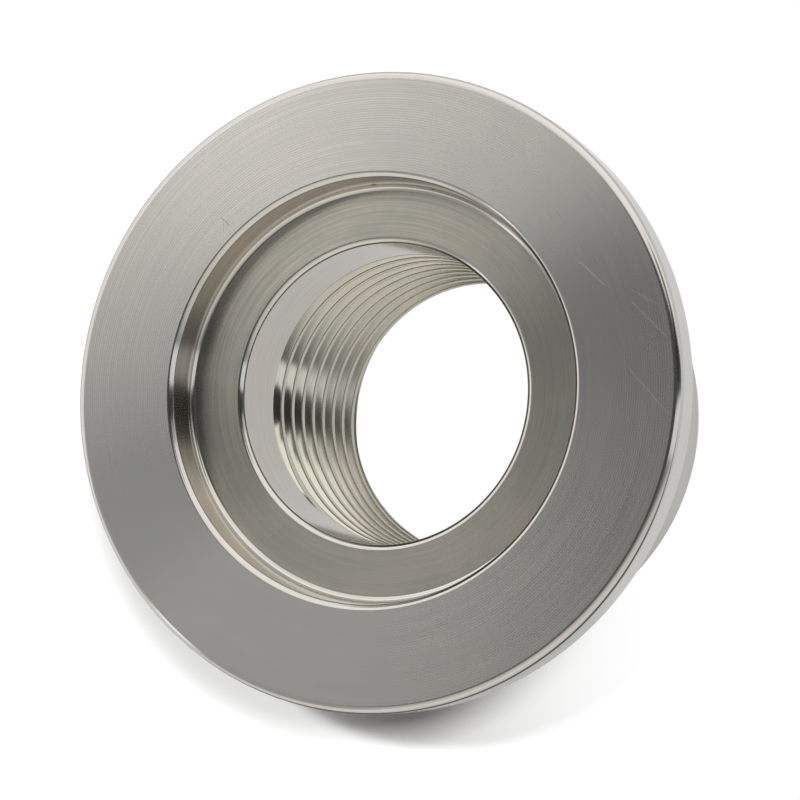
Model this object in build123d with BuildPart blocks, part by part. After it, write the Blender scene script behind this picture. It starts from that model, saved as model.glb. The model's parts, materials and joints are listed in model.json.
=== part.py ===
from build123d import *
from math import radians, tan
import os

# Threaded flange adapter, turned from one stainless steel bar.
# One end is a small clamped vacuum flange, the other a hub with a female pipe thread.
# It stands on the threaded end. Millimetres, with the origin at the centre of that end's
# face and +Z along the axis towards the sealing face.

# Whole body
overall_length = 24.0

# Clamp rim, with the sealing face on top and a conical back for the clamp's jaws
rim_diameter = 40.0
rim_edge_width = 3.0
rim_back_angle = 15.0
rim_front_round = 0.5
rim_back_chamfer = 0.4

# Recess for the centring ring, sunk into the sealing face
recess_diameter = 26.2
recess_depth = 2.5
recess_edge_chamfer = 0.4
recess_corner_chamfer = 0.25

# Hub behind the rim
hub_diameter = 30.0
hub_root_round = 0.8
hub_end_chamfer = 0.4

# Straight bore, which is also the crest of the pipe thread cut from the open end
bore_diameter = 19.0
bore_edge_chamfer = 0.35

# Countersunk mouth of the thread, as wide as its roots
thread_mouth_diameter = 21.4
thread_mouth_depth = 1.0

# Radii and heights that follow from these sizes
rim_radius = rim_diameter / 2
recess_radius = recess_diameter / 2
hub_radius = hub_diameter / 2
bore_radius = bore_diameter / 2
thread_mouth_radius = thread_mouth_diameter / 2
recess_floor_height = overall_length - recess_depth
rim_back_height = overall_length - rim_edge_width
rim_root_height = rim_back_height - (rim_radius - hub_radius) * tan(radians(rim_back_angle))


def corner(profile, radius, height):
    """The corner of the half section at this radius and height."""
    return profile.vertices().sort_by_distance((radius, height))[0]


with BuildPart() as adapter_body:
    with BuildSketch(Plane.XZ) as half_section:
        # Outline with sharp corners, from the thread's mouth round the outside and back
        with BuildLine():
            Polyline(
                (bore_radius, thread_mouth_depth),
                (thread_mouth_radius, 0),
                (hub_radius, 0),
                (hub_radius, rim_root_height),
                (rim_radius, rim_back_height),
                (rim_radius, overall_length),
                (recess_radius, overall_length),
                (recess_radius, recess_floor_height),
                (bore_radius, recess_floor_height),
                close=True,
            )
        make_face()
        # Rounded front edge of the clamp rim, and the radius where its back meets the hub
        fillet(corner(half_section, rim_radius, overall_length), radius=rim_front_round)
        fillet(corner(half_section, hub_radius, rim_root_height), radius=hub_root_round)
        # Broken edges of the rim's back, the recess, the bore and the hub's end
        chamfer(corner(half_section, rim_radius, rim_back_height), length=rim_back_chamfer)
        chamfer(corner(half_section, recess_radius, overall_length), length=recess_edge_chamfer)
        chamfer(corner(half_section, recess_radius, recess_floor_height), length=recess_corner_chamfer)
        chamfer(corner(half_section, bore_radius, recess_floor_height), length=bore_edge_chamfer)
        chamfer(corner(half_section, hub_radius, 0), length=hub_end_chamfer)
    revolve(axis=Axis.Z)

adapter_body.part.label = "adapter_body"

os.makedirs("parts", exist_ok=True)
export_step(adapter_body.part, "parts/adapter_body.step")
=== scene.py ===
import json
import math
import bmesh
import bpy
import numpy as np
from mathutils import Matrix, Vector


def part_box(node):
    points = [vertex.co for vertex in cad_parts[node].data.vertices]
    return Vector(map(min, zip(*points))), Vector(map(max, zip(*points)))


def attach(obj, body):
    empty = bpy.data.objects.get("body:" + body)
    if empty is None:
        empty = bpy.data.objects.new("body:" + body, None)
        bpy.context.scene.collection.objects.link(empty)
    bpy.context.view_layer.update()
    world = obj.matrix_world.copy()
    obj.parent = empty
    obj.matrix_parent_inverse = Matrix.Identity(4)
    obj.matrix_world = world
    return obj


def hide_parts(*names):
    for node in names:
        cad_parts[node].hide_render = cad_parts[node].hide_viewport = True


# Threaded flange adapter in bare turned steel, with its helical thread, on a pale floor
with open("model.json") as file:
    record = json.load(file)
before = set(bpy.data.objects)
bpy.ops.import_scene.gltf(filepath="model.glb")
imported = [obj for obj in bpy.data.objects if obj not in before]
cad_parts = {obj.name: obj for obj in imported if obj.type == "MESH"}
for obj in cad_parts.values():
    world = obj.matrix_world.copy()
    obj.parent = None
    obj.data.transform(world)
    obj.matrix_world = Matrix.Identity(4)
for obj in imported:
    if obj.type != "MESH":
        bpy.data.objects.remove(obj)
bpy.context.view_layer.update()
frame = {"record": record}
MM = 0.001

# Sizes that the frame states, in millimetres
mounts = {m["name"]: m for m in frame["record"]["mounts"]}
high_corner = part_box("adapter_body")[1]
OVERALL_LENGTH = high_corner[2] / MM
RIM_RADIUS = mounts["clamp_rim"]["dims"]["r_mm"]
RECESS_RADIUS = mounts["centring_recess"]["dims"]["r_mm"]
BORE_RADIUS = mounts["pipe_thread"]["dims"]["r_mm"]

# Sizes of the turned form
RIM_EDGE_WIDTH = 3.0
RIM_BACK_ANGLE = math.radians(15.0)
RIM_FRONT_ROUND = 0.5
RIM_BACK_CHAMFER = 0.4
RECESS_DEPTH = 2.5
RECESS_FLARE = 0.2
RECESS_EDGE_CHAMFER = 0.26
INNER_EDGE_ROUND = 0.24
RECESS_CORNER_ROUND = 0.4
BORE_EDGE_CHAMFER = 0.25
BORE_EDGE_ROUND = 0.29
HUB_RADIUS = 15.0
HUB_ROOT_ROUND = 0.8
HUB_END_CHAMFER = 0.4
BROKEN_EDGE_ROUND = 0.08
MOUTH_RADIUS = 10.7
MOUTH_DEPTH = 1.0

# Half inch parallel pipe thread, cut from the mouth and drawn out near the recess. The depth
# and the root's round are shares of the pitch.
INCH = 25.4
THREADS_PER_INCH = 14
DEPTH_SHARE = 0.6403
ROUND_SHARE = 0.1373
PITCH = INCH / THREADS_PER_INCH
ROOT_RADIUS = 10.478
PITCH_RADIUS = ROOT_RADIUS - DEPTH_SHARE * PITCH / 2
FLANK_ANGLE = math.radians(27.5)
ROOT_ROUND = ROUND_SHARE * PITCH
CREST_ROUND = 0.04
RUN_OUT_AZIMUTH = math.radians(156.0)
RUN_OUT_HEIGHT = 16.06
RUN_OUT_TURNS = 0.13
THREAD_TOP = 17.0

# Fineness of the mesh: columns round the axis, steps in an arc, points on a groove's root and
# flank as shares of each, and grooves drawn past both ends of the thread
COLUMNS = 320
ARC_STEPS = 8
ROOT_SHARES = (0.4, 0.75, 1.0)
FLANK_SHARES = (0.33, 0.66)
SPARE_GROOVES = 2
MERGE_DISTANCE = 0.0005 * MM

# The length below which a sum of normals counts as none, so that nothing is divided by 0
SHORTEST_NORMAL = 1e-20

# Camera: the turns and the distance that the ellipses of the photograph give
LENS_MM = 125.446
SENSOR_MM = 36.0
CAMERA_TILT = math.radians(21.123)
CAMERA_ROLL = math.radians(75.395)
FACE_CENTRE_SEEN = Vector((-2.016, 0.675, -172.368)) * MM

# Two tones for each kind of steel surface
FACE_STEEL = (0.588, 0.586, 0.560), (0.614, 0.594, 0.568)
FLOOR_STEEL = (0.500, 0.492, 0.440), (0.560, 0.528, 0.465)
WALL_STEEL = (0.63, 0.60, 0.56), (0.66, 0.605, 0.55)
THREAD_STEEL = (0.61, 0.60, 0.52), (0.65, 0.62, 0.54)
WHITE = (1.0, 1.0, 1.0, 1.0)
BLACK = (0.0, 0.0, 0.0, 1.0)

# Patterns in the steel. Noise has features a millimetre across the grooves and streaks a
# radian along them, and a range is the part of the noise over which a change happens.
FINE_STREAKS = 1.5
BROAD_PER_MM = 0.6
BROAD_STREAKS = 1.2
BLOTCHES_PER_MM = 0.35
BLOTCH_ROUGHNESS = 0.55
PATTERN_DETAIL = 3.0
BROAD_SHARE = 0.35
TONE_RANGE = (0.38, 0.62)
STREAK_RANGE = (0.3, 0.7)
GROOVE_RANGE = (0.25, 0.75)
GROOVE_ROUGHNESS = (0.92, 1.08)
RING_PITCH = 0.15
RING_WANDER = 9.0
RING_RANGE = (0.35, 0.65)
RING_STRENGTH = (0.4, 1.0)

# Share of a turn by which the shader's direction is turned, so that light spreads across the
# grooves and not along them
ACROSS_GROOVES = 0.25

# Heights between which the finish of the thread grows coarser towards its mouth
COARSER_FROM, COARSER_TO = 15.0, 4.0

# Marks left by handling, each from one end to the other, with its width and how much paler it
# is. The core of a mark is the share of its width over which it is at its strongest.
FACE_MARKS = [
    ((10.66, -11.29, 24.0), (9.65, -13.19, 24.0), 0.07, 0.30),
    ((9.73, -14.88, 24.0), (9.27, -16.63, 24.0), 0.08, 0.16),
    ((8.99, -15.18, 24.0), (7.58, -17.60, 24.0), 0.08, 0.26),
    ((5.06, -16.05, 24.0), (3.03, -19.14, 24.0), 0.06, 0.22),
    ((8.18, 12.57, 24.0), (7.85, 11.95, 24.0), 0.06, -0.30),
    ((7.85, 12.35, 24.0), (7.35, 12.25, 24.0), 0.05, -0.20),
]
WALL_MARKS = [
    ((12.56, 3.94, 22.00), (12.60, 3.80, 22.10), 0.24, -0.90),
    ((13.12, 0.01, 21.80), (13.16, 0.01, 22.25), 0.12, -0.90),
]
MARK_CORE = 0.3
PALE_MARK = (0.95, 0.95, 0.93, 1.0)
DARK_MARK = (0.1, 0.1, 0.09, 1.0)

# Bounds of the finishes: how level a flat's and a wall's faces are, how far the broken edges
# reach from the recess's wall and below its floor, which flats belong to that floor, and where
# the plain bore begins, on faces no further out than the bore
FLAT_LEVEL = 0.999
WALL_LEVEL = 0.15
RECESS_EDGE_REACH = 0.55
BORE_EDGE_REACH = 0.4
FLOOR_BAND = 1.0
PLAIN_BORE_HEIGHT = RUN_OUT_HEIGHT + 1.0
BORE_LIMIT = BORE_RADIUS * 1.001

# The studio's sky, in degrees off the vertical, up or across to the right as the photograph
# sees it. A pair is where a change begins and ends, or the levels before and after it.
ROOM_COLOUR = (1.0, 1.0, 1.01, 1.0)
LOW_ROOM_COLOUR = (1.04, 1.0, 0.92, 1.0)
LOW_COLOUR_UP = (-15.0, -40.0)
ROOM_LEVEL = 0.09
ROOM_BELOW_UP = (-2.7, -33.0)
ROOM_LEFT_ACROSS = (-15.8, -26.0)
ROOM_FAR_LEFT_ACROSS = (-45.0, -75.0)
LOW_SKY_UP = (-38.0, -62.0)
BELOW_LEVELS = (0.78, 0.95)
LEFT_LEVELS = (0.46, 1.0)
FAR_LEFT_LEVEL = 1.07
DIFFUSE_LEVEL = 0.05

# The soft box: its near edge, which runs up to the right and then level, and its hot spot
BOX_COLOUR = (1.02, 1.0, 0.96, 1.0)
BOX_EDGE_SLOPE = 0.372
BOX_EDGE_UP = 18.2
BOX_EDGE_HIGHEST = 18.5
BOX_EDGE_SOFT = (-1.5, 1.5)
BOX_UP = (20.0, 70.0)
BOX_LEVELS = (1.16, 1.32)
HOT_SPOT = (-25.6, 14.4)
HOT_SPOT_REACH = 8.5
HOT_SPOT_LEVEL = 0.8

# Patches of the sky and their levels: a half dark wing, a gap low down, a dark gap and a strip
# light. Each pair is where the patch is 0 and where it is 1: inner and outer are degrees off
# the vertical, first and last are azimuths.
SKY_PATCHES = [
    (dict(inner=(38, 44), first=(22, 25), last=(46, 38), outer=(68, 60)), 0.2),
    (dict(inner=(66, 72), first=(1, 4), last=(28, 8), outer=(88, 80)), 0.1),
    (dict(inner=(24, 30), first=(1, 4), last=(26, 23), outer=(72, 62)), 0.04),
    (dict(inner=(24, 30), first=(-13.5, -11), last=(4, 2)), 1.0),
]

# A narrow band of light low on the left, bent round a place in the sky
BAND_CENTRE = (-25.0, 1.2)
BAND = dict(inner=(15, 19), first=(37, 42), last=(54, 50), outer=(48, 44))
BAND_LEVEL = 1.1

# How far the floor reaches each way, in metres
FLOOR_REACH = 1.5

# The floor's levels, to the eye and mirrored in the metal. Where it glows it shows no shadow.
# Places are millimetres from the axis, or to the right and front as the photograph sees it.
FLOOR_LEVEL = 0.95
FLOOR_LEVEL_MIRRORED = 0.68
FLOOR_GLOW_SEEN = 0.02
FLOOR_GLOW_MIRRORED = 0.02
FLOOR_GLOW_LEVEL_MIRRORED = 0.82
# Painted shade: mirrored in the metal, the floor's glow dims towards the axis, under the part
GLOW_SHADE_RADIUS = (13.0, 18.0)
GLOW_FAR_RADIUS = (45.0, 90.0)
GLOW_BORE_MARGIN = 2.0
GLOW_BORE_EDGE = 0.5
GLOW_RIGHT_SEEN = (-6.5, 12.5)
GLOW_RIGHT_MIRRORED = (6.0, 16.0)
# Painted shadow: how dark the floor is in front of the part as the metal mirrors it, and where
# that patch reaches
FRONT_SHADE_LEVEL = 0.13
FRONT_SHADE_NEAR = (17.0, 32.0)
FRONT_SHADE_FAR = (100.0, 60.0)
FRONT_SHADE_LEFT = (-50.0, -25.0)

# Lamps: their height in metres, the photograph's pixels for a millimetre on the floor, and for
# each lamp how many pixels it moves the shadow to the right and down, its width in metres and
# its power in watts
LAMP_HEIGHT = 0.46
PIXELS_PER_MM = 14.3
LAMPS = {
    "key": dict(shift=(-48.0, 26.0), width=0.02, power=1.1),
    "fill": dict(shift=(-152.0, 22.0), width=0.05, power=1.65),
    "front": dict(shift=(5.0, 36.0), width=0.05, power=0.34),
}


def rounded(corners):
    """Points of an outline whose corners (radius, height, round) are turned into arcs."""
    points = []
    for before, here, after in zip(corners, corners[1:], corners[2:]):
        corner = Vector(here[:2])
        to_last = (Vector(before[:2]) - corner).normalized()
        to_next = (Vector(after[:2]) - corner).normalized()
        half = to_last.angle(to_next) / 2
        centre = corner + (to_last + to_next).normalized() * here[2] / math.sin(half)
        start = corner + to_last * here[2] / math.tan(half) - centre
        sweep = start.angle_signed(corner + to_next * here[2] / math.tan(half) - centre)
        for step in range(ARC_STEPS + 1):
            turn = -sweep * step / ARC_STEPS
            turned = Matrix.Rotation(turn, 2) @ start
            points.append(tuple(centre + turned))
    return points


def outline():
    """Half section of the part outside the thread, from the mouth's edge to the thread's top."""
    floor = OVERALL_LENGTH - RECESS_DEPTH
    rim_back = OVERALL_LENGTH - RIM_EDGE_WIDTH
    rim_root = rim_back - (RIM_RADIUS - HUB_RADIUS) * math.tan(RIM_BACK_ANGLE)
    wall_top = RECESS_RADIUS + RECESS_FLARE
    small = BROKEN_EDGE_ROUND
    back_in = RIM_RADIUS - RIM_BACK_CHAMFER * math.cos(RIM_BACK_ANGLE)
    back_down = rim_back - RIM_BACK_CHAMFER * math.sin(RIM_BACK_ANGLE)
    corners = [
        (MOUTH_RADIUS, 0.0, 0.0),
        (HUB_RADIUS - HUB_END_CHAMFER, 0.0, small),
        (HUB_RADIUS, HUB_END_CHAMFER, small),
        (HUB_RADIUS, rim_root, HUB_ROOT_ROUND),
        (back_in, back_down, small),
        (RIM_RADIUS, rim_back + RIM_BACK_CHAMFER, small),
        (RIM_RADIUS, OVERALL_LENGTH, RIM_FRONT_ROUND),
        (wall_top + RECESS_EDGE_CHAMFER, OVERALL_LENGTH, INNER_EDGE_ROUND),
        (wall_top, OVERALL_LENGTH - RECESS_EDGE_CHAMFER, INNER_EDGE_ROUND),
        (RECESS_RADIUS, floor, RECESS_CORNER_ROUND),
        (BORE_RADIUS + BORE_EDGE_CHAMFER, floor, BORE_EDGE_ROUND),
        (BORE_RADIUS, floor - BORE_EDGE_CHAMFER, BORE_EDGE_ROUND),
        (BORE_RADIUS, THREAD_TOP, 0.0),
    ]
    return [(MOUTH_RADIUS, 0.0)] + rounded(corners) + [(BORE_RADIUS, THREAD_TOP)]


def flank_apex():
    """Radius at which the two flanks of a groove would meet."""
    return PITCH_RADIUS + PITCH / 4 / math.tan(FLANK_ANGLE)


def root_edge():
    """Distance of the root's edge from the middle of its groove."""
    return ROOT_ROUND * math.cos(FLANK_ANGLE)


def crest_edge():
    """Distance of the crest's edge from the middle of its groove."""
    return (flank_apex() - BORE_RADIUS) * math.tan(FLANK_ANGLE)


def groove_radius(offset):
    """Radius of the thread's form at this distance from the middle of a groove."""
    if abs(offset) < root_edge():
        return ROOT_RADIUS - ROOT_ROUND + math.sqrt(ROOT_ROUND ** 2 - offset ** 2)
    return flank_apex() - abs(offset) / math.tan(FLANK_ANGLE)


def groove_knots():
    """Offsets from the middle of a groove at which the thread's form is drawn, over one pitch."""
    root, crest = root_edge(), crest_edge()
    half = [root * share for share in ROOT_SHARES]
    half += [root + (crest - root) * share for share in FLANK_SHARES]
    half += [crest - CREST_ROUND, crest + CREST_ROUND]
    return [-x for x in reversed(half)] + [0.0] + half + [PITCH / 2]


def drawn_out(turns):
    """How much shallower the groove is this many turns from the thread's run-out."""
    share = min(max(turns / RUN_OUT_TURNS, 0.0), 1.0)
    return (ROOT_RADIUS - BORE_RADIUS) * (1 - share * share * (3 - 2 * share))


def bore_surface(height, turns, offset):
    """Radius of the bore at this height, this many turns from the thread's run-out."""
    cone = BORE_RADIUS + (MOUTH_RADIUS - BORE_RADIUS) * (1 - height / MOUTH_DEPTH)
    groove = groove_radius(offset) - drawn_out(turns)
    return max(BORE_RADIUS, groove, cone)


def thread_rows():
    """The (radius, height) points down the bore in each column, and how many a pitch takes."""
    knots = groove_knots()
    last_groove = math.ceil(RUN_OUT_HEIGHT / PITCH) + SPARE_GROOVES
    columns = []
    for column in range(COLUMNS):
        azimuth = 2 * math.pi * column / COLUMNS
        lead = (RUN_OUT_AZIMUTH - azimuth) / (2 * math.pi)
        points = []
        for groove in range(-SPARE_GROOVES, last_groove):
            turns = groove + lead
            middle = RUN_OUT_HEIGHT - PITCH * turns
            narrowed = 1 - drawn_out(turns) * math.tan(FLANK_ANGLE) / crest_edge()
            for knot in knots:
                offset = knot if knot == PITCH / 2 else knot * narrowed
                height = min(max(middle - offset, 0.0), THREAD_TOP)
                points.append((bore_surface(height, turns, offset), height))
        columns.append(points)
    return columns, len(knots)


def body_mesh():
    """The whole turned and threaded body as one closed mesh."""
    ring = outline()
    threads, pitch_rows = thread_rows()
    vertices = []
    for column in range(COLUMNS):
        azimuth = 2 * math.pi * column / COLUMNS
        across = (math.cos(azimuth), math.sin(azimuth))
        for radius, height in ring + threads[column]:
            vertices.append((radius * across[0] * MM, radius * across[1] * MM, height * MM))
    outside, inside = len(ring), len(threads[0])
    rows = outside + inside
    faces = []
    for column in range(COLUMNS):
        following = (column + 1) % COLUMNS
        for row in range(outside - 1):
            a, b = column * rows + row, following * rows + row
            faces.append((a, b, b + 1, a + 1))
        # Once round the axis the helix has moved by one pitch
        moved = pitch_rows if following == 0 else 0
        for row in range(moved, inside - 1):
            a = column * rows + outside + row
            b = following * rows + outside + row - moved
            faces.append((a, b, b + 1, a + 1))
    mesh = bpy.data.meshes.new("turned_body")
    mesh.from_pydata(vertices, [], faces)
    close_mesh(mesh)
    return mesh


def close_mesh(mesh):
    """Joins the seam and the rows that meet at the thread's ends, and turns every face outward."""
    work = bmesh.new()
    work.from_mesh(mesh)
    bmesh.ops.remove_doubles(work, verts=work.verts, dist=MERGE_DISTANCE)
    bmesh.ops.dissolve_degenerate(work, edges=work.edges, dist=MERGE_DISTANCE)
    bmesh.ops.recalc_face_normals(work, faces=work.faces)
    work.to_mesh(mesh)
    work.free()


def smooth_by_area(mesh):
    """Shades each point by the faces round it, the large ones most, so that flats stay flat."""
    count = len(mesh.vertices)
    normals = np.zeros((count, 3))
    for face in mesh.polygons:
        weighted = np.array(face.normal) * face.area
        for vertex in face.vertices:
            normals[vertex] += weighted
    lengths = np.linalg.norm(normals, axis=1, keepdims=True)
    normals /= np.maximum(lengths, SHORTEST_NORMAL)
    mesh.shade_smooth()
    mesh.normals_split_custom_set_from_vertices([tuple(n) for n in normals])


class Graph:
    """Short names for the nodes that the materials and the world use."""

    # Sockets of the mix node that take and give plain values, and those for colours
    MIX_VALUES = (2, 3)
    MIX_COLOURS = (6, 7)
    MIXED_VALUE = 0
    MIXED_COLOUR = 2

    def __init__(self, tree):
        self.tree = tree
        tree.nodes.clear()

    def node(self, kind, inputs=(), **settings):
        """A new node of this kind. inputs are pairs of socket and value or other socket."""
        made = self.tree.nodes.new(kind)
        for name, value in settings.items():
            setattr(made, name, value)
        for socket, value in inputs:
            if isinstance(value, bpy.types.NodeSocket):
                self.tree.links.new(value, made.inputs[socket])
            else:
                made.inputs[socket].default_value = value
        return made

    def maths(self, operation, *values):
        """The result of this operation on one, two or three values."""
        pairs = list(enumerate(values))
        return self.node("ShaderNodeMath", pairs, operation=operation).outputs[0]

    def vectors(self, operation, first, second, output=0):
        """The result of this operation on two vectors."""
        pairs = [(0, first), (1, second)]
        return self.node("ShaderNodeVectorMath", pairs, operation=operation).outputs[output]

    def length(self, first, second):
        """Length of the flat vector that has these two parts."""
        squares = [self.maths("MULTIPLY", part, part) for part in (first, second)]
        return self.maths("SQRT", self.maths("ADD", *squares))

    def fade(self, value, start, end, low=0.0, high=1.0):
        """low before start, high after end, and a smooth change in between."""
        pairs = [("Value", value), ("From Min", start), ("From Max", end)]
        pairs += [("To Min", low), ("To Max", high)]
        made = self.node("ShaderNodeMapRange", pairs, interpolation_type="SMOOTHSTEP")
        return made.outputs["Result"]

    def blend(self, share, first, second):
        """first where share is 0 and second where it is 1."""
        pairs = [(0, share), *zip(self.MIX_VALUES, (first, second))]
        return self.node("ShaderNodeMix", pairs).outputs[self.MIXED_VALUE]

    def tint(self, share, first, second):
        """As blend, for colours."""
        pairs = [(0, share), *zip(self.MIX_COLOURS, (first, second))]
        return self.node("ShaderNodeMix", pairs, data_type="RGBA").outputs[self.MIXED_COLOUR]


def turned_coordinates(graph):
    """x, y and z of a place, and its distance from the axis, all in millimetres."""
    place = graph.node("ShaderNodeTexCoord").outputs["Object"]
    parts = graph.node("ShaderNodeSeparateXYZ", [(0, place)]).outputs
    x, y, z = [graph.maths("DIVIDE", part, MM) for part in parts]
    return x, y, z, graph.length(x, y)


def turned_noise(graph, coordinates, fineness, streaks, detail=2.0):
    """Noise drawn out round the axis: fineness features a millimetre across, streaks a radian."""
    x, y, z, radius = coordinates
    across = graph.maths("MULTIPLY", radius, fineness)
    along = graph.maths("MULTIPLY", z, fineness)
    east = graph.maths("MULTIPLY", graph.maths("DIVIDE", x, radius), streaks)
    north = graph.maths("MULTIPLY", graph.maths("DIVIDE", y, radius), streaks)
    place = graph.node("ShaderNodeCombineXYZ", [(0, across), (1, along), (2, east)]).outputs[0]
    pairs = [("Vector", place), ("W", north), ("Scale", 1.0), ("Detail", detail)]
    return graph.node("ShaderNodeTexNoise", pairs, noise_dimensions="4D").outputs["Fac"]


def mark(graph, place, start, end, width):
    """1 along a thin mark between two places in millimetres, fading to 0 at its width."""
    start, end = Vector(start), Vector(end)
    way, length = (end - start).normalized(), (end - start).length
    offset = graph.vectors("SUBTRACT", place, start)
    along = graph.vectors("DOT_PRODUCT", offset, way, "Value")
    along = graph.maths("MINIMUM", graph.maths("MAXIMUM", along, 0.0), length)
    pairs = [(0, way), ("Scale", along)]
    foot = graph.node("ShaderNodeVectorMath", pairs, operation="SCALE").outputs[0]
    apart = graph.vectors("DISTANCE", offset, foot, "Value")
    return graph.fade(apart, width, width * MARK_CORE)


def steel_colour(graph, place, fine, broad, tones, streak):
    """The two tones in soft blotches, with the grooves a little darker."""
    pairs = [("Vector", place), ("Scale", BLOTCHES_PER_MM), ("Detail", PATTERN_DETAIL)]
    pairs.append(("Roughness", BLOTCH_ROUGHNESS))
    blotches = graph.node("ShaderNodeTexNoise", pairs).outputs["Fac"]
    shade = graph.blend(BROAD_SHARE, blotches, broad)
    colour = graph.tint(graph.fade(shade, *TONE_RANGE), (*tones[0], 1.0), (*tones[1], 1.0))
    return graph.tint(graph.fade(fine, *STREAK_RANGE, 0.0, streak), colour, BLACK)


def marked(graph, place, colour, marks):
    """The colour with the paler and darker marks laid over it."""
    for start, end, width, paler in marks:
        share = graph.maths("MULTIPLY", mark(graph, place, start, end, width), abs(paler))
        colour = graph.tint(share, colour, PALE_MARK if paler > 0 else DARK_MARK)
    return colour


def ringed(graph, radius, fine, broad, height):
    """The fine grooves with regular rings over them, whose height is a share of theirs."""
    wander = graph.maths("MULTIPLY", broad, RING_WANDER)
    turns = graph.maths("MULTIPLY_ADD", radius, 2 * math.pi / RING_PITCH, wander)
    strength = graph.fade(broad, *RING_RANGE, *RING_STRENGTH)
    wave = graph.maths("MULTIPLY", graph.maths("SINE", turns), strength)
    return graph.maths("MULTIPLY_ADD", wave, height, fine)


def steel(
    name,
    tones,
    roughness,
    anisotropy,
    groove_height,
    grooves_per_mm,
    mouth_roughness=None,
    marks=(),
    ring_height=0.0,
    streak=0.08,
):
    """Bare stainless steel, turned: the light spreads across the tool's grooves.

    Heights are in millimetres. mouth_roughness is for a finish that grows coarser towards the
    thread's mouth, and streak is how much darker the grooves are than the steel between them.
    """
    material = bpy.data.materials.new(name)
    material.use_nodes = True
    graph = Graph(material.node_tree)
    coordinates = turned_coordinates(graph)
    fine = turned_noise(graph, coordinates, grooves_per_mm, FINE_STREAKS)
    broad = turned_noise(graph, coordinates, BROAD_PER_MM, BROAD_STREAKS, PATTERN_DETAIL)
    place = graph.node("ShaderNodeCombineXYZ", list(enumerate(coordinates[:3]))).outputs[0]
    colour = steel_colour(graph, place, fine, broad, tones, streak)
    colour = marked(graph, place, colour, marks)
    rough = roughness
    if mouth_roughness:
        heights = COARSER_FROM, COARSER_TO
        rough = graph.fade(coordinates[2], *heights, roughness, mouth_roughness)
    uneven = graph.fade(fine, *GROOVE_RANGE, *GROOVE_ROUGHNESS)
    rough = graph.maths("MULTIPLY", rough, uneven)
    height = fine
    if ring_height:
        height = ringed(graph, coordinates[3], fine, broad, ring_height / groove_height)
    pairs = [("Height", height), ("Distance", groove_height * MM), ("Strength", 1.0)]
    bump = graph.node("ShaderNodeBump", pairs).outputs["Normal"]
    tangent = graph.node("ShaderNodeTangent", direction_type="RADIAL", axis="Z").outputs[0]
    pairs = [("Base Color", colour), ("Metallic", 1.0), ("Roughness", rough), ("Normal", bump)]
    pairs += [("Anisotropic", anisotropy), ("Anisotropic Rotation", ACROSS_GROOVES)]
    pairs.append(("Tangent", tangent))
    shader = graph.node("ShaderNodeBsdfPrincipled", pairs).outputs[0]
    graph.node("ShaderNodeOutputMaterial", [("Surface", shader)])
    return material


# Places of the finishes in the list that finishes gives
FACE, FLOOR, WALL, HUB, THREAD, EDGE = range(6)


def finishes():
    """The body's materials."""
    return [
        steel(
            "turned_face",
            FACE_STEEL,
            roughness=0.2135,
            anisotropy=0.8755,
            groove_height=0.00012,
            grooves_per_mm=7.0,
            marks=FACE_MARKS,
            ring_height=0.0004,
            streak=0.04,
        ),
        steel(
            "turned_floor",
            FLOOR_STEEL,
            roughness=0.24,
            anisotropy=0.85,
            groove_height=0.0006,
            grooves_per_mm=6.0,
            ring_height=0.0003,
            streak=0.17,
        ),
        steel(
            "fine_wall",
            WALL_STEEL,
            roughness=0.1,
            anisotropy=0.6,
            groove_height=0.00008,
            grooves_per_mm=9.0,
            marks=WALL_MARKS,
        ),
        steel(
            "turned_hub",
            FACE_STEEL,
            roughness=0.26,
            anisotropy=0.8,
            groove_height=0.0003,
            grooves_per_mm=7.0,
            streak=0.04,
        ),
        steel(
            "cut_thread",
            THREAD_STEEL,
            roughness=0.11,
            anisotropy=0.5,
            groove_height=0.00008,
            grooves_per_mm=12.0,
            mouth_roughness=0.26,
        ),
        steel(
            "rolled_edge",
            FACE_STEEL,
            roughness=0.13,
            anisotropy=0.3,
            groove_height=0.0002,
            grooves_per_mm=9.0,
            marks=WALL_MARKS,
        ),
    ]


def finish_of(radius, height, level):
    """Which finish a face has, by its place in millimetres and how far its normal is level."""
    floor = OVERALL_LENGTH - RECESS_DEPTH
    flat = level > FLAT_LEVEL
    if radius < BORE_LIMIT and height > PLAIN_BORE_HEIGHT:
        return WALL
    if radius < MOUTH_RADIUS and height < THREAD_TOP:
        return THREAD
    in_recess = radius < RECESS_RADIUS + RECESS_EDGE_REACH and height > floor - BORE_EDGE_REACH
    if in_recess and not (flat and height > floor + FLOOR_BAND):
        return FLOOR if flat else EDGE if level > WALL_LEVEL else WALL
    if height > OVERALL_LENGTH - RIM_FRONT_ROUND and flat:
        return FACE
    return EDGE if radius > RIM_RADIUS - RIM_FRONT_ROUND else HUB


def threaded_body():
    """The body in its finishes, in place of the plain solid."""
    mesh = body_mesh()
    for material in finishes():
        mesh.materials.append(material)
    for face in mesh.polygons:
        x, y, z = face.center / MM
        face.material_index = finish_of(math.hypot(x, y), z, face.normal.z)
    smooth_by_area(mesh)
    made = bpy.data.objects.new("turned_body", mesh)
    bpy.context.scene.collection.objects.link(made)
    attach(made, "root")
    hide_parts("adapter_body")


def sky_directions(graph):
    """A direction's degrees off the vertical, its parts to the right and up, and its azimuth."""
    way = graph.node("ShaderNodeTexCoord").outputs["Generated"]
    pairs = [("Vector", way), ("Rotation", (0.0, 0.0, CAMERA_ROLL))]
    turned = graph.node("ShaderNodeMapping", pairs, vector_type="POINT").outputs[0]
    x, y, z = graph.node("ShaderNodeSeparateXYZ", [(0, turned)]).outputs
    off_axis = graph.maths("DEGREES", graph.maths("ARCCOSINE", z))
    flat = graph.length(x, y)
    right = graph.maths("MULTIPLY", off_axis, graph.maths("DIVIDE", x, flat))
    up = graph.maths("MULTIPLY", off_axis, graph.maths("DIVIDE", y, flat))
    azimuth = graph.maths("DEGREES", graph.maths("ARCTAN2", y, x))
    return off_axis, right, up, azimuth


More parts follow.
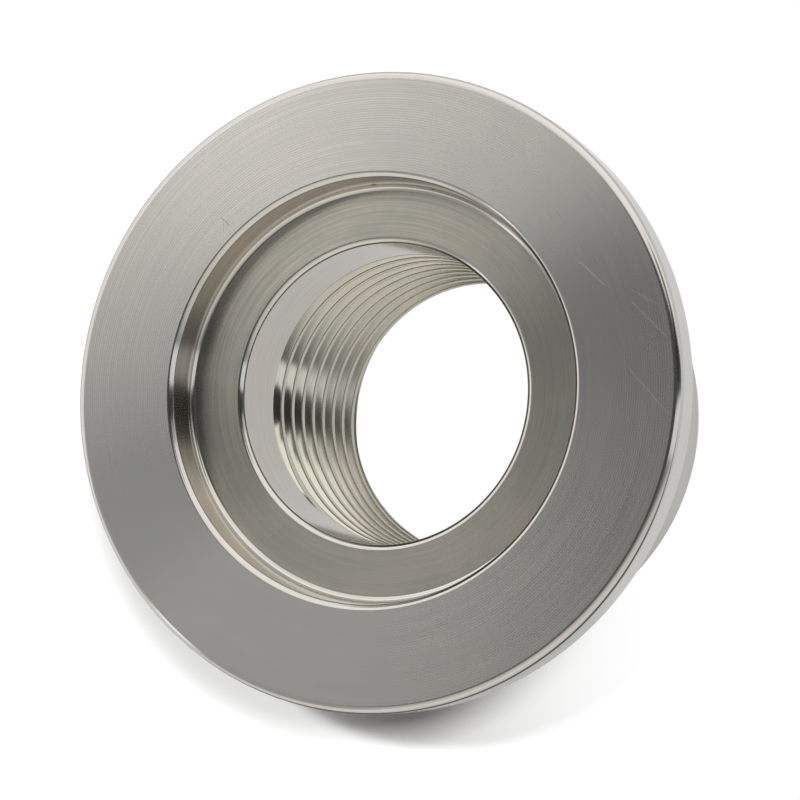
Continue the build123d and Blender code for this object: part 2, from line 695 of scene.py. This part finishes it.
def distance_from(graph, right, up, centre):
    """Distance in the studio's sky, in degrees, from a place there."""
    across = graph.maths("SUBTRACT", right, centre[0])
    along = graph.maths("SUBTRACT", up, centre[1])
    return graph.length(across, along)


def patch(graph, off_axis, azimuth, inner, first, last, outer=None):
    """1 in a patch of the studio's sky and 0 outside it, with soft sides."""
    sides = graph.maths("MULTIPLY", graph.fade(azimuth, *first), graph.fade(azimuth, *last))
    share = graph.maths("MULTIPLY", sides, graph.fade(off_axis, *inner))
    if outer is None:
        return share
    return graph.maths("MULTIPLY", share, graph.fade(off_axis, *outer))


def room_level(graph, right, up):
    """Level of the dark room round the camera, paler below and to the left."""
    below = graph.fade(up, *ROOM_BELOW_UP)
    left = graph.fade(right, *ROOM_LEFT_ACROSS)
    far_left = graph.fade(right, *ROOM_FAR_LEFT_ACROSS)
    level = graph.blend(below, ROOM_LEVEL, graph.fade(up, *LOW_SKY_UP, *BELOW_LEVELS))
    level = graph.blend(left, level, graph.fade(up, *LOW_SKY_UP, *LEFT_LEVELS))
    return graph.blend(far_left, level, FAR_LEFT_LEVEL)


def soft_box(graph, right, up):
    """Where the soft box overhead is, and its level there."""
    edge = graph.maths("MULTIPLY_ADD", right, BOX_EDGE_SLOPE, BOX_EDGE_UP)
    edge = graph.maths("MINIMUM", edge, BOX_EDGE_HIGHEST)
    over = graph.fade(graph.maths("SUBTRACT", up, edge), *BOX_EDGE_SOFT)
    apart = distance_from(graph, right, up, HOT_SPOT)
    hot = graph.fade(apart, HOT_SPOT_REACH, 0.0, 0.0, HOT_SPOT_LEVEL)
    return over, graph.maths("ADD", graph.fade(up, *BOX_UP, *BOX_LEVELS), hot)


def low_band(graph, right, up):
    """Added level of the narrow band of light low on the left."""
    down = graph.maths("SUBTRACT", BAND_CENTRE[1], up)
    left = graph.maths("SUBTRACT", BAND_CENTRE[0], right)
    aside = graph.maths("DEGREES", graph.maths("ARCTAN2", down, left))
    reach = distance_from(graph, right, up, BAND_CENTRE)
    return graph.maths("MULTIPLY", patch(graph, reach, aside, **BAND), BAND_LEVEL)


def studio_world():
    """What the metal reflects: a soft box overhead, a dark room round the camera, a strip light.

    To the eye it is plain white, and it lights the floor only a little.
    """
    world = bpy.data.worlds.new("studio")
    bpy.context.scene.world = world
    world.use_nodes = True
    graph = Graph(world.node_tree)
    off_axis, right, up, azimuth = sky_directions(graph)
    level = room_level(graph, right, up)
    over, box_level = soft_box(graph, right, up)
    level = graph.blend(over, level, box_level)
    colour = graph.tint(graph.fade(up, *LOW_COLOUR_UP), ROOM_COLOUR, LOW_ROOM_COLOUR)
    colour = graph.tint(over, colour, BOX_COLOUR)
    for place, patch_level in SKY_PATCHES:
        level = graph.blend(patch(graph, off_axis, azimuth, **place), level, patch_level)
    level = graph.maths("ADD", level, low_band(graph, right, up))

    rays = graph.node("ShaderNodeLightPath").outputs
    fill = graph.blend(rays["Is Diffuse Ray"], 1.0, DIFFUSE_LEVEL)
    strength = graph.maths("MULTIPLY", level, fill)
    strength = graph.blend(rays["Is Camera Ray"], strength, 1.0)
    colour = graph.tint(rays["Is Camera Ray"], colour, WHITE)
    pairs = [("Color", colour), ("Strength", strength)]
    background = graph.node("ShaderNodeBackground", pairs).outputs[0]
    graph.node("ShaderNodeOutputWorld", [("Surface", background)])


def image_directions(graph, x, y):
    """How far a place on the floor lies to the right and front, as the photograph sees it."""
    cosine, sine = math.cos(CAMERA_ROLL), math.sin(CAMERA_ROLL)
    along = [graph.maths("MULTIPLY", x, cosine), graph.maths("MULTIPLY", y, sine)]
    right = graph.maths("SUBTRACT", *along)
    across = [graph.maths("MULTIPLY", x, sine), graph.maths("MULTIPLY", y, cosine)]
    back = graph.maths("ADD", *across)
    return right, graph.maths("MULTIPLY", back, -1.0)


def pale_floor():
    """A pale floor that looks white, and keeps the part's shadow where it doesn't glow."""
    material = bpy.data.materials.new("pale_floor")
    material.use_nodes = True
    graph = Graph(material.node_tree)
    coordinates = turned_coordinates(graph)
    radius = coordinates[3]
    rays = graph.node("ShaderNodeLightPath").outputs
    by_eye = rays["Is Camera Ray"]
    by_mirror = graph.maths("MAXIMUM", rays["Is Glossy Ray"], rays["Is Transmission Ray"])
    to_right, to_front = image_directions(graph, *coordinates[:2])

    # Painted shade: in the metal the floor is a little darker than to the eye, and dark in front
    # of the part, as a painted shadow
    front = [graph.fade(to_front, *FRONT_SHADE_NEAR), graph.fade(to_front, *FRONT_SHADE_FAR)]
    front = graph.maths("MULTIPLY", *front)
    front = graph.maths("MULTIPLY", front, graph.fade(to_right, *FRONT_SHADE_LEFT))
    front = graph.maths("MULTIPLY", front, by_mirror)
    pale = graph.blend(by_mirror, FLOOR_LEVEL, FLOOR_LEVEL_MIRRORED)
    pale = graph.blend(front, pale, FRONT_SHADE_LEVEL)
    pale = graph.node("ShaderNodeCombineColor", [(0, pale), (1, pale), (2, pale)]).outputs[0]
    lit = graph.node("ShaderNodeBsdfDiffuse", [("Color", pale)]).outputs[0]
    # Painted shade: in the metal the glow is dimmer near the axis, under the part, and white to
    # the eye
    levels = FLOOR_LEVEL_MIRRORED, FLOOR_GLOW_LEVEL_MIRRORED
    level = graph.blend(by_eye, graph.fade(radius, *GLOW_SHADE_RADIUS, *levels), 1.0)
    level = graph.blend(front, level, FRONT_SHADE_LEVEL)
    glow = graph.node("ShaderNodeEmission", [("Color", WHITE), ("Strength", level)]).outputs[0]

    # Painted light: it glows under the bore, far away, and to the right of the part, so that the
    # shadow fades there
    under = BORE_RADIUS + GLOW_BORE_MARGIN
    glowing = graph.fade(radius, under + GLOW_BORE_EDGE, under)
    glowing = graph.maths("MAXIMUM", glowing, graph.fade(radius, *GLOW_FAR_RADIUS))
    seen = graph.maths("MAXIMUM", glowing, graph.fade(to_right, *GLOW_RIGHT_SEEN))
    seen = graph.maths("MULTIPLY", by_eye, graph.maths("MAXIMUM", seen, FLOOR_GLOW_SEEN))
    mirrored = graph.maths("MAXIMUM", glowing, graph.fade(to_right, *GLOW_RIGHT_MIRRORED))
    mirrored = graph.maths("MAXIMUM", mirrored, FLOOR_GLOW_MIRRORED)
    mirrored = graph.maths("MULTIPLY", by_mirror, mirrored)
    share = graph.maths("MAXIMUM", seen, mirrored)
    shader = graph.node("ShaderNodeMixShader", [(0, share), (1, lit), (2, glow)]).outputs[0]
    graph.node("ShaderNodeOutputMaterial", [("Surface", shader)])
    return material


def studio_floor():
    """The floor that the part stands on."""
    side = FLOOR_REACH
    mesh = bpy.data.meshes.new("floor")
    corners = [(-side, -side, 0.0), (side, -side, 0.0), (side, side, 0.0), (-side, side, 0.0)]
    mesh.from_pydata(corners, [], [(0, 1, 2, 3)])
    mesh.materials.append(pale_floor())
    floor = bpy.data.objects.new("floor", mesh)
    bpy.context.scene.collection.objects.link(floor)


def lamp_place(shift_right, shift_down):
    """Where a lamp hangs for its shadow to move by this many pixels of the photograph."""
    turn = Matrix.Rotation(-CAMERA_ROLL, 3, "Z")
    moved = turn @ Vector((shift_right, -shift_down, 0.0)) / PIXELS_PER_MM
    rise = LAMP_HEIGHT - OVERALL_LENGTH * MM
    x, y = (-part * rise / OVERALL_LENGTH for part in moved[:2])
    return Vector((x, y, LAMP_HEIGHT))


def soft_lamp(name, shift, width, power):
    """A square soft lamp, aimed at the part's foot, that lights the floor and casts the shadow."""
    lamp = bpy.data.lights.new(name, "AREA")
    lamp.shape = "SQUARE"
    lamp.size = width
    lamp.energy = power
    made = bpy.data.objects.new(name, lamp)
    place = lamp_place(*shift)
    made.location = place
    made.rotation_euler = (-place).to_track_quat("-Z", "Y").to_euler()
    made.visible_glossy = False
    bpy.context.scene.collection.objects.link(made)


def photo_camera():
    """The camera at the photograph's viewing angle."""
    data = bpy.data.cameras.new("camera")
    data.lens = LENS_MM
    data.sensor_width = SENSOR_MM
    data.clip_start = 1.0 * MM
    camera = bpy.data.objects.new("camera", data)
    turn = Matrix.Rotation(CAMERA_TILT, 3, "X") @ Matrix.Rotation(-CAMERA_ROLL, 3, "Z")
    face_centre = Vector((0.0, 0.0, OVERALL_LENGTH * MM))
    camera.rotation_euler = turn.to_euler()
    camera.location = face_centre - turn @ FACE_CENTRE_SEEN
    bpy.context.scene.collection.objects.link(camera)
    bpy.context.scene.camera = camera


bpy.context.scene.view_settings.view_transform = "Standard"
threaded_body()
studio_world()
studio_floor()
for lamp_name, settings in LAMPS.items():
    soft_lamp(lamp_name, **settings)
photo_camera()
